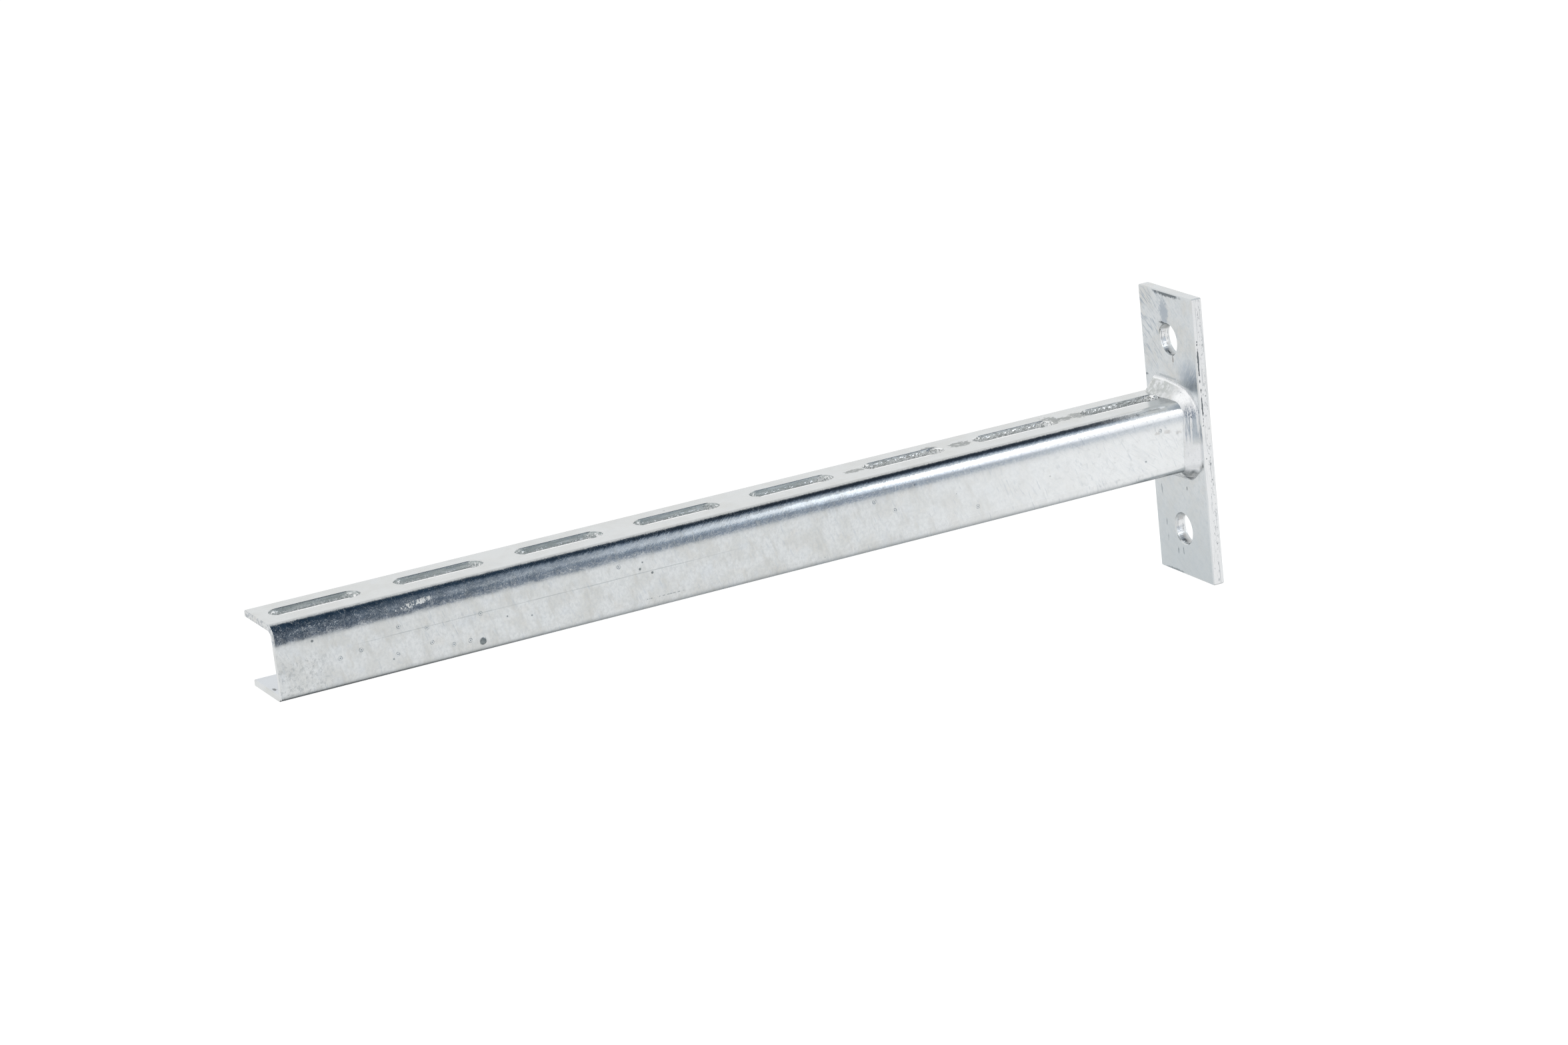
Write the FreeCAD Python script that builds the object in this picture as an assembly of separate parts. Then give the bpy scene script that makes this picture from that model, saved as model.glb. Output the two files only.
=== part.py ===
import FreeCAD, Part
import math
import os

# Cantilever bracket: a slotted U channel welded square to a bolted back plate, then hot-dip galvanised.
# Frame: origin at the centre of the plate's back face, which lies on the wall. The arm runs along -X,
# the channel's web faces -Y, its flanges point to +Y, and +Z is up. All lengths are in millimetres.

# Driving dimensions of the slotted channel
SLOT_PITCH = 50.0          # centre to centre along the arm
SLOT_COUNT = 8             # in each flange
SLOT_LENGTH = 36.0         # over the round ends
SLOT_WIDTH = 9.0
CUT_LOSS = 3.0             # taken by the two cuts that part the arm from a long slotted channel
ARM_HEIGHT = 30.0          # over both flanges
ARM_DEPTH = 29.0           # from the web's outer face to the flanges' free edges
SHEET = 2.75               # sheet thickness
BEND_RADIUS = 2.25         # inside each fold
SHEET_EDGE_BREAK = 0.35    # cut edges of the sheet, broken and then softened by the zinc
SLOT_RIM_BREAK = 0.15      # punched rims of the slots, softened by the zinc

# Driving dimensions of the back plate
PLATE_THICKNESS = 5.0
PLATE_EDGE_BREAK = 0.4     # along every edge of the bar
BOLT_HOLE = 13.0           # diameter
BOLT_RIM_BREAK = 0.4       # rim of each bolt hole
BOLT_REACH = 25.0          # from the level of a flange to its bolt, with the arm at mid-height
BOLT_END = 20.0            # from a bolt's centre to the end of the plate
ARM_RISE = 2.25            # the arm's mid-height above the plate's

# Driving dimensions of the weld
WELD_LEG = 5.1             # on the plate and along the arm
WELD_PASSES = 3            # runs laid side by side, each a shallow ridge on the weld's face
WELD_CROWN = 0.32          # height of each ridge above the flat between its edges
WELD_END_GAP = 0.25        # from the break of the flange's free edge to the end of the bead
WELD_RUN_OUT = 2.2         # length over which the bead dies away at each end
WELD_END_SHARE = 0.45      # size of the bead at its very end, against its full section

# Sizes that follow from the driving dimensions
arm_length = SLOT_COUNT * SLOT_PITCH - CUT_LOSS
fold_radius = BEND_RADIUS + SHEET
plate_width = ARM_DEPTH + 2 * (WELD_LEG + PLATE_EDGE_BREAK)
bolt_spacing = ARM_HEIGHT + 2 * BOLT_REACH
plate_height = bolt_spacing + 2 * BOLT_END

wall_x = 0.0
plate_front_x = wall_x - PLATE_THICKNESS
arm_free_x = plate_front_x - arm_length
web_y = -ARM_DEPTH / 2
flange_edge_y = web_y + ARM_DEPTH
fold_y = web_y + fold_radius
slot_y = (fold_y + flange_edge_y) / 2
arm_low_z = ARM_RISE - ARM_HEIGHT / 2
arm_top_z = arm_low_z + ARM_HEIGHT
low_fold_z = arm_low_z + fold_radius
top_fold_z = arm_top_z - fold_radius


def vec(x, y, z):
    return FreeCAD.Vector(x, y, z)


def fold_arc(centre_y, centre_z, radius, start, stop):
    """An arc in the plane x = 0, from start to stop degrees, measured from +Y towards +Z."""
    points = []
    for angle in (start, (start + stop) / 2, stop):
        turn = math.radians(angle)
        points.append(vec(0, centre_y + radius * math.cos(turn), centre_z + radius * math.sin(turn)))
    return Part.Arc(*points).toShape()


def line(start, end):
    return Part.LineSegment(start, end).toShape()


def channel_section():
    """The folded sheet's section in the plane x = 0, one outer and one inner run joined at the tips."""
    inner_low = arm_low_z + SHEET
    inner_top = arm_top_z - SHEET
    web_inside_y = web_y + SHEET
    edges = [
        line(vec(0, flange_edge_y, arm_top_z), vec(0, fold_y, arm_top_z)),
        fold_arc(fold_y, top_fold_z, fold_radius, 90, 180),
        line(vec(0, web_y, top_fold_z), vec(0, web_y, low_fold_z)),
        fold_arc(fold_y, low_fold_z, fold_radius, 180, 270),
        line(vec(0, fold_y, arm_low_z), vec(0, flange_edge_y, arm_low_z)),
        line(vec(0, flange_edge_y, arm_low_z), vec(0, flange_edge_y, inner_low)),
        line(vec(0, flange_edge_y, inner_low), vec(0, fold_y, inner_low)),
        fold_arc(fold_y, low_fold_z, BEND_RADIUS, 270, 180),
        line(vec(0, web_inside_y, low_fold_z), vec(0, web_inside_y, top_fold_z)),
        fold_arc(fold_y, top_fold_z, BEND_RADIUS, 180, 90),
        line(vec(0, fold_y, inner_top), vec(0, flange_edge_y, inner_top)),
        line(vec(0, flange_edge_y, inner_top), vec(0, flange_edge_y, arm_top_z)),
    ]
    return Part.Face(Part.Wire(edges))


def slot_centre_x(index):
    """Slots sit at mid-pitch, and the saw takes half of its loss from each end of the arm."""
    return arm_free_x + (index + 0.5) * SLOT_PITCH - CUT_LOSS / 2


def slot_punch(centre_x):
    """A round-ended bar that passes down through both flanges."""
    radius = SLOT_WIDTH / 2
    reach = SLOT_LENGTH / 2 - radius
    low_z = arm_low_z - SHEET
    left, right = centre_x - reach, centre_x + reach
    near, far = slot_y - radius, slot_y + radius
    outline = Part.Wire([
        line(vec(left, near, low_z), vec(right, near, low_z)),
        Part.Arc(vec(right, near, low_z), vec(right + radius, slot_y, low_z), vec(right, far, low_z)).toShape(),
        line(vec(right, far, low_z), vec(left, far, low_z)),
        Part.Arc(vec(left, far, low_z), vec(left - radius, slot_y, low_z), vec(left, near, low_z)).toShape(),
    ])
    return Part.Face(outline).extrude(vec(0, 0, ARM_HEIGHT + 2 * SHEET))


def edges_where(shape, test):
    return [edge for edge in shape.Edges if test(edge.BoundBox)]


def is_slot_rim(box):
    """True for the flat outlines of the slots on the faces of the flanges."""
    flat = box.ZLength < SHEET / 10
    inside_y = box.YMin > fold_y and box.YMax < flange_edge_y - SHEET / 10
    return flat and inside_y and box.XMin > arm_free_x + SHEET / 10


def is_cut_sheet_edge(box):
    """True for the outline of the sawn free end and the long corners of the flanges' free edges."""
    at_end = box.XMax < arm_free_x + SHEET / 10
    at_flange_edge = box.YMin > flange_edge_y - SHEET / 10 and box.XLength > arm_length / 2
    return at_end or at_flange_edge


def make_arm_channel():
    body = channel_section().extrude(vec(-arm_length, 0, 0))
    body.translate(vec(plate_front_x, 0, 0))
    for index in range(SLOT_COUNT):
        body = body.cut(slot_punch(slot_centre_x(index)))
    body = body.makeChamfer(SLOT_RIM_BREAK, edges_where(body, is_slot_rim))
    return body.makeChamfer(SHEET_EDGE_BREAK, edges_where(body, is_cut_sheet_edge))


def bolt_drill(centre_z):
    return Part.makeCylinder(BOLT_HOLE / 2, 3 * PLATE_THICKNESS, vec(wall_x + PLATE_THICKNESS, 0, centre_z),
                             vec(-1, 0, 0))


def is_bolt_rim(box):
    """True for the round rims of the bolt holes, and for nothing on the plate's outline."""
    return box.XLength < PLATE_THICKNESS / 10 and box.YMax < plate_width / 4 and box.YMin > -plate_width / 4


def make_back_plate():
    plate = Part.makeBox(PLATE_THICKNESS, plate_width, plate_height,
                         vec(plate_front_x, -plate_width / 2, -plate_height / 2))
    plate = plate.makeChamfer(PLATE_EDGE_BREAK, plate.Edges)
    for centre_z in (-bolt_spacing / 2, bolt_spacing / 2):
        plate = plate.cut(bolt_drill(centre_z))
    return plate.makeChamfer(BOLT_RIM_BREAK, edges_where(plate, is_bolt_rim))


def weld_section(root, outward, share=1.0):
    """The bead's section: one leg on the arm, one on the plate, and a face of side-by-side ridges.

    root is the corner between arm and plate, outward points away from the arm along the plate.
    """
    leg = WELD_LEG * share
    crown = WELD_CROWN * share
    along_arm = vec(-1, 0, 0)
    toe_arm = root + along_arm * leg
    toe_plate = root + outward * leg
    lift = (along_arm + outward) * (crown / math.sqrt(2))
    edges = [line(root, toe_plate)]
    run = (toe_arm - toe_plate) * (1 / WELD_PASSES)
    for index in range(WELD_PASSES):
        start = toe_plate + run * index
        edges.append(Part.Arc(start, start + run * 0.5 + lift, start + run).toShape())
    edges.append(line(toe_arm, root))
    return Part.Wire(edges)


def straight_bead(start, run, outward):
    return Part.Face(weld_section(start, outward)).extrude(run)


def corner_bead(centre_z, start_outward, turn):
    """The bead round a fold: the section turned a quarter about the fold's own centre line."""
    centre = vec(plate_front_x, fold_y, centre_z)
    face = Part.Face(weld_section(centre + start_outward * fold_radius, start_outward))
    return face.revolve(centre, vec(1, 0, 0), turn)


def bead_end(start, outward):
    """The bead dying away towards the flange's free edge."""
    full = weld_section(start, outward)
    small = weld_section(start + vec(0, WELD_RUN_OUT, 0), outward, WELD_END_SHARE)
    return Part.makeLoft([full, small], True, True)


def make_fillet_weld():
    up, down, out = vec(0, 0, 1), vec(0, 0, -1), vec(0, -1, 0)
    bead_stop_y = flange_edge_y - SHEET_EDGE_BREAK - WELD_END_GAP - WELD_RUN_OUT
    flange_run = vec(0, bead_stop_y - fold_y, 0)
    pieces = [
        bead_end(vec(plate_front_x, bead_stop_y, arm_top_z), up),
        straight_bead(vec(plate_front_x, fold_y, arm_top_z), flange_run, up),
        corner_bead(top_fold_z, up, 90),
        straight_bead(vec(plate_front_x, web_y, low_fold_z), vec(0, 0, top_fold_z - low_fold_z), out),
        corner_bead(low_fold_z, out, 90),
        straight_bead(vec(plate_front_x, fold_y, arm_low_z), flange_run, down),
        bead_end(vec(plate_front_x, bead_stop_y, arm_low_z), down),
    ]
    return pieces[0].multiFuse(pieces[1:]).removeSplitter()


def main():
    os.makedirs("parts", exist_ok=True)
    makers = {"arm_channel": make_arm_channel, "back_plate": make_back_plate, "fillet_weld": make_fillet_weld}
    for node, make in makers.items():
        shape = make()
        print(node, "valid", shape.isValid(), "solids", len(shape.Solids), "volume", round(shape.Volume, 1))
        shape.exportStep("parts/" + node + ".step")


main()
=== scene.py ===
"""Looks of a galvanised cantilever bracket: a slotted channel welded square to a bolted back plate.

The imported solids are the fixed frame. Their origin is the centre of the plate's back face, the arm runs
along -X, the channel's web faces -Y and +Z is up. Meshes are in metres, and a name that ends in _mm is
in millimetres. The arm and the plate keep their solids and get a zinc coat, and the weld's plain solid
is replaced by a modelled bead. Zinc shows what it mirrors, so the studio has cloths for it to mirror.
"""

from __future__ import annotations

import logging
import math
from collections.abc import Callable, Sequence
from dataclasses import dataclass, field
from enum import Enum
from functools import partial

import bmesh
import bpy
from mathutils import Matrix, Vector, noise

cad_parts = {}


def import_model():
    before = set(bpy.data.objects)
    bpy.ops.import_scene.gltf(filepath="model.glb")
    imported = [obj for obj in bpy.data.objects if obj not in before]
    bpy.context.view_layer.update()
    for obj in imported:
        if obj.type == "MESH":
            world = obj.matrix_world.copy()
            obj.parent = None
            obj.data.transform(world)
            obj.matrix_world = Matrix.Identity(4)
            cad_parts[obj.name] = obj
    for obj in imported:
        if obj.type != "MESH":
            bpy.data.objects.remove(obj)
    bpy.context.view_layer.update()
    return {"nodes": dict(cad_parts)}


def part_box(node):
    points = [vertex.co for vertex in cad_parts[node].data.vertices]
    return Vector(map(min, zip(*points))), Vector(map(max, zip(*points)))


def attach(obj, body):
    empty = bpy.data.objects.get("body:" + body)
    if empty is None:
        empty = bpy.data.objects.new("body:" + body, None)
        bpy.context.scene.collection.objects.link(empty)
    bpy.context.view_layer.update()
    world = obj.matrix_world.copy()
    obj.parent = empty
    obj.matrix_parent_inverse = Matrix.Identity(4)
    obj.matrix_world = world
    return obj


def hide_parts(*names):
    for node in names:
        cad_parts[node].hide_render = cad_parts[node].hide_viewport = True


MM = 0.001
LOG = logging.getLogger("bracket")

Point = tuple[float, float, float]
Pair = tuple[float, float]
Profile = tuple[Pair, ...]
Value = bpy.types.Node | bpy.types.NodeSocket | float | Sequence[float]
SMOOTH = {"interpolation_type": "SMOOTHSTEP"}
MIX_UNDER, MIX_OVER = 6, 7      # sockets of the two colours that a Mix node mixes
WRAP_START = 2                  # socket of the start of a wrapped range
SHIFT_MM = (37, 53, 71)         # unequal, so that no two shifted patterns line up on any axis


class Finish(Enum):
    """The record's material slots."""

    SHEET = "galvanised_sheet"
    BAR = "galvanised_bar"
    WELD = "galvanised_weld"


def hex_to_linear(code: str) -> tuple[float, float, float, float]:
    """Turns an sRGB hex colour to linear values.

    Args:
        code: Six hex digits after a hash sign.

    Returns:
        Red, green, blue and an alpha of 1.
    """
    channels = []
    for start in (1, 3, 5):
        value = int(code[start:start + 2], 16) / 255
        channels.append(value / 12.92 if value <= 0.04045 else ((value + 0.055) / 1.055) ** 2.4)
    return channels[0], channels[1], channels[2], 1.0


def bell(value: float, centre: float, width: float) -> float:
    """A smooth rise to 1 at the centre, which is down to a third one width away."""
    return math.exp(-(((value - centre) / width) ** 2))


def add_node(tree: bpy.types.NodeTree, kind: str, *values: Value,
             sockets: dict[int | str, Value] | None = None, **settings: object) -> bpy.types.Node:
    """Adds one node with its settings, values and links.

    Args:
        tree: The node tree that gets the node.
        kind: The node's type, without the word ShaderNode.
        values: What its first sockets get, in order: a number, an output, or a node for its first output.
        sockets: The same for other sockets, by name or number.
        settings: Properties of the node itself.

    Returns:
        The new node.
    """
    node = tree.nodes.new("ShaderNode" + kind)
    for name, setting in settings.items():
        setattr(node, name, setting)
    for key, value in {**dict(enumerate(values)), **(sockets or {})}.items():
        if isinstance(value, bpy.types.Node):
            value = next(output for output in value.outputs if output.enabled)
        if isinstance(value, bpy.types.NodeSocket):
            tree.links.new(value, node.inputs[key])
        else:
            node.inputs[key].default_value = value
    return node


def new_material(name: str) -> bpy.types.Material:
    """Makes a material with an empty node tree.

    Args:
        name: The material's name.

    Returns:
        The material.
    """
    material = bpy.data.materials.new(name)
    material.use_nodes = True
    material.node_tree.nodes.clear()
    return material


def new_piece(name: str, shape: bmesh.types.BMesh, material: bpy.types.Material) -> bpy.types.Object:
    """Puts a finished shape in the scene.

    Args:
        name: The piece's name.
        shape: Its shape in metres, which is freed.
        material: Its material.

    Returns:
        The piece.
    """
    mesh = bpy.data.meshes.new(name)
    shape.to_mesh(mesh)
    shape.free()
    mesh.materials.append(material)
    piece = bpy.data.objects.new(name, mesh)
    bpy.context.scene.collection.objects.link(piece)
    return piece


class CoatLayers:
    """One coat's colour, roughness and relief, laid layer over layer in the part's own millimetres."""

    glossiest: float = 0.06     # the lowest roughness that the zinc reaches

    def __init__(self, name: str, colour: str, roughness: float) -> None:
        """Starts the material and reads the surface's place and facing.

        Args:
            name: The material's name.
            colour: The lowest layer's colour.
            roughness: Its roughness.
        """
        self.material = new_material(name)
        self.add = partial(add_node, self.material.node_tree)
        source = self.add("TexCoord").outputs
        self.place = self.add("VectorMath", source["Object"], sockets={"Scale": 1 / MM}, operation="SCALE")
        self.normal = source["Normal"]
        self.x, self.y, self.z = self.add("SeparateXYZ", self.place).outputs
        self.facing_x, self.facing_y, self.facing_z = self.add("SeparateXYZ", self.normal).outputs
        self.colour: Value = hex_to_linear(colour)
        self.roughness: Value = roughness
        self.height: Value = 0.0
        self.tilt: Value = 0.0

    def grains(self, size_mm: Sequence[float], detail: float = 2.0, rough: float = 0.5,
               turn: Sequence[float] = (0, 0, 0), shift: float = 0.0) -> bpy.types.Node:
        """A soft random pattern, even over the piece.

        Args:
            size_mm: The size of its grains along each axis.
            detail: How many finer layers lie over the first.
            rough: How strong the finer layers are.
            turn: Angles in degrees by which the grains lean.
            shift: Moves the pattern, so that layers don't repeat each other.

        Returns:
            Values about 0.5, from 0 to 1.
        """
        where = self.add("Mapping", self.place, [shift * step for step in SHIFT_MM],
                         [math.radians(angle) for angle in turn], size_mm, vector_type="TEXTURE")
        return self.add("TexNoise", where, sockets={"Scale": 1.0, "Detail": detail, "Roughness": rough})

    def swell(self, size_mm: Sequence[float], **pattern: float | Sequence[float]) -> bpy.types.Node:
        """A random pattern that swings about 0, with the same settings as grains."""
        return self.add("Math", self.grains(size_mm, **pattern), 0.5, operation="SUBTRACT")

    def blotches(self, size_mm: Sequence[float], low: float, high: float, least: float = 0.0,
                 **pattern: float | Sequence[float]) -> bpy.types.Node:
        """Ragged blotches where a random pattern runs high.

        Args:
            size_mm: The size of the pattern's grains along each axis.
            low: The pattern's level at a blotch's outline.
            high: Its level where the blotch is full.
            least: The mask between the blotches.
            pattern: Other settings, the same as for grains.

        Returns:
            A mask that is 1 in the blotches.
        """
        return self.add("MapRange", self.grains(size_mm, **pattern), low, high, least, 1.0, **SMOOTH)

    def hairs(self, size_mm: Sequence[float], width: float,
              **pattern: float | Sequence[float]) -> bpy.types.Node:
        """Fine curling lines, which follow the middle level of a random pattern.

        Args:
            size_mm: How far the lines run before they turn, along each axis.
            width: Their width as a share of that pattern's range.
            pattern: Other settings, the same as for grains.

        Returns:
            A mask that is 1 on the lines.
        """
        level = self.add("Math", self.swell(size_mm, **pattern), operation="ABSOLUTE")
        return self.add("MapRange", level, width, width * 0.3, **SMOOTH)

    def within(self, value: Value, low: float, high: float, soft: float) -> Value:
        """A mask for a stretch of a value.

        Args:
            value: What is compared, such as a place along an axis.
            low: Where the stretch begins.
            high: Where it ends.
            soft: How far the mask takes to fall to 0 outside it.

        Returns:
            1 in the stretch.
        """
        return self.overlap(self.add("MapRange", value, low - soft, low, **SMOOTH),
                            self.add("MapRange", value, high + soft, high, **SMOOTH))

    def overlap(self, first: Value, *others: Value) -> Value:
        """The part that masks have in common.

        Args:
            first: A mask.
            others: More masks or shares.

        Returns:
            Their product.
        """
        for other in others:
            first = self.add("Math", first, other, operation="MULTIPLY")
        return first

    def spot(self, centre_mm: Point, radii_mm: Point, ragged: float = 0.3, tooth_mm: float = 1.0,
             lean: float = 0.0, soft: float = 0.2) -> bpy.types.Node:
        """One round or long mark with a ragged outline.

        Args:
            centre_mm: Its centre.
            radii_mm: Its half lengths along the axes.
            ragged: How far its outline wanders, as a share of its size.
            tooth_mm: The size of the outline's teeth.
            lean: Degrees by which it is turned about Y.
            soft: The width of its edge, as a share of its size.

        Returns:
            A mask that is 1 in the mark.
        """
        where = self.add("Mapping", self.place, centre_mm, (0, math.radians(lean), 0), radii_mm,
                         vector_type="TEXTURE")
        away = self.add("VectorMath", where, operation="LENGTH").outputs["Value"]
        if ragged:
            teeth = self.grains((tooth_mm,) * 3, rough=0.6, shift=centre_mm[0] * 0.01)
            closer = self.add("Math", away, 2 * ragged, operation="SUBTRACT")
            away = self.add("Math", teeth, 4 * ragged, closer, operation="MULTIPLY_ADD")
        return self.add("MapRange", away, 1 + soft, 1 - soft, **SMOOTH)

    def nearest(self, places_mm: Sequence[Point]) -> Value:
        """Measures how far the nearest of some places is.

        Args:
            places_mm: The places.

        Returns:
            The distance in millimetres.
        """
        distances = [self.add("VectorMath", self.place, place, operation="DISTANCE").outputs["Value"]
                     for place in places_mm]
        least = distances[0]
        for distance in distances[1:]:
            least = self.add("Math", least, distance, operation="MINIMUM")
        return least

    def specks(self, spacing_mm: float, share: float, radius_mm: float,
               shift: float = 0.0) -> bpy.types.Node:
        """Small round specks strewn at random.

        Args:
            spacing_mm: About how far apart the places for them lie.
            share: How many of the places have one.
            radius_mm: The largest radius.
            shift: Moves the pattern.

        Returns:
            A mask that is 1 on the specks.
        """
        where = self.add("Mapping", self.place, [shift * step for step in SHIFT_MM], (0, 0, 0),
                         (spacing_mm,) * 3, vector_type="TEXTURE")
        cells = self.add("TexVoronoi", where, sockets={"Scale": 1.0})
        chance = self.add("SeparateColor", cells.outputs["Color"]).outputs[0]
        radius = self.add("MapRange", chance, 0.0, share, radius_mm / spacing_mm, 0.0)
        outside = self.add("Math", cells.outputs["Distance"], radius, operation="SUBTRACT")
        return self.add("MapRange", outside, 0.0, -0.15 * radius_mm / spacing_mm, **SMOOTH)

    def paint(self, colour: str, share: float, *masks: Value) -> None:
        """Lays a colour where all masks are 1, covering the given share of what is under it."""
        self.colour = self.add("Mix", self.overlap(*masks, share), data_type="RGBA",
                               sockets={MIX_UNDER: self.colour, MIX_OVER: hex_to_linear(colour)})

    def roughen(self, amount: float, *masks: Value) -> None:
        """Adds to the roughness where all masks are 1."""
        self.roughness = self.add("Math", self.overlap(*masks), amount, self.roughness,
                                  operation="MULTIPLY_ADD")

    def raise_by(self, height_mm: float, *masks: Value) -> None:
        """Adds to the height where all masks are 1."""
        self.height = self.add("Math", self.overlap(*masks), height_mm, self.height, operation="MULTIPLY_ADD")

    def lean_by(self, angle: float, *masks: Value) -> None:
        """Turns the surface by some degrees about X, from -Y towards +Z, where all masks are 1."""
        self.tilt = self.add("Math", self.overlap(*masks), math.radians(angle), self.tilt,
                             operation="MULTIPLY_ADD")

    def finish(self) -> bpy.types.Material:
        """Joins the layers in one metal shader, which keeps the default IOR.

        Returns:
            The material.
        """
        add = self.add
        bump = add("Bump", sockets={"Height": self.height, "Distance": MM, "Strength": 1.0})
        upward = add("VectorMath", self.normal, (1, 0, 0), operation="CROSS_PRODUCT")
        turned = add("VectorMath", upward, sockets={"Scale": self.tilt}, operation="SCALE")
        normal = add("VectorMath", add("VectorMath", bump, turned, operation="ADD"), operation="NORMALIZE")
        rough = add("Math", self.roughness, self.glossiest, operation="MAXIMUM")
        rough = add("Math", rough, 1.0, operation="MINIMUM")
        zinc = {"Base Color": self.colour, "Metallic": 1.0, "Roughness": rough, "Normal": normal}
        add("OutputMaterial", add("BsdfPrincipled", sockets=zinc))
        return self.material


@dataclass(frozen=True)
class ZincCoat:
    """Hot-dip galvanised zinc, drained and wiped while molten.

    The eye sees a pale silvery metal that mirrors its surroundings softly, with faint warm and bluish
    clouds, a fine grain that shows wherever a fold mirrors an edge of the light, and small dull specks.
    """

    name: str
    pale: str = "#D8DBDC"
    dull: str = "#CFD1D0"
    warm: str = "#D1CFCA"
    blue: str = "#CDD3D9"
    roughness: float = 0.20
    uneven: float = 0.04
    cloud_mm: float = 9.0               # how wide the molten zinc ran and drained
    peel_mm: float = 4.5                # the spacing of the drained coat's waves
    peel_height_mm: float = 0.005
    grain_mm: float = 0.6               # real grains are about 0.1 mm wide, drawn coarser so that they show
    grain_height_mm: float = 0.004

    def lay(self) -> CoatLayers:
        """Lays the clouds, the grain and the waviness that the whole coat has.

        Returns:
            The layers, ready for the marks of one piece.
        """
        layers = CoatLayers(self.name, self.pale, self.roughness)
        layers.paint(self.dull, 1.0, layers.blotches((self.cloud_mm,) * 3, 0.42, 0.66, detail=3.0, shift=3.1))
        warmth = layers.grains((self.cloud_mm * 0.7,) * 3, detail=3.0, shift=11.7)
        layers.paint(self.warm, 0.35, layers.add("MapRange", warmth, 0.54, 0.72, **SMOOTH))
        layers.paint(self.blue, 0.4, layers.add("MapRange", warmth, 0.44, 0.28, **SMOOTH))
        layers.roughen(2 * self.uneven, layers.swell((self.grain_mm * 2,) * 3, rough=0.7, shift=5.3))
        layers.raise_by(self.peel_height_mm, layers.grains((self.peel_mm,) * 3, detail=1.0, shift=7.9))
        layers.raise_by(self.grain_height_mm, layers.grains((self.grain_mm,) * 3, rough=0.65, shift=1.3))
        return layers


COATS = {
    Finish.SHEET: ZincCoat("hot_dip_zinc_on_sheet"),
    Finish.BAR: ZincCoat("hot_dip_zinc_on_flat_bar", pale="#D3D7D9", grain_height_mm=0.010),
    Finish.WELD: ZincCoat("hot_dip_zinc_on_weld", pale="#E2E4E6", dull="#D6D8D8", roughness=0.22,
                          peel_height_mm=0.03, grain_height_mm=0.010),
}


@dataclass
class CoatedPart:
    """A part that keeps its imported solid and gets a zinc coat."""

    node: str
    finish: Finish

    def dress(self, nodes: dict[str, bpy.types.Object]) -> bpy.types.Object:
        """Puts the coat on the part.

        Args:
            nodes: The frame's nodes by name.

        Returns:
            The part.
        """
        layers = COATS[self.finish].lay()
        self.lay_marks(layers)
        part = nodes[self.node]
        part.data.materials.clear()
        part.data.materials.append(layers.finish())
        return part

    def lay_marks(self, layers: CoatLayers) -> None:
        """Adds the marks that only this part has."""
        raise NotImplementedError


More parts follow.
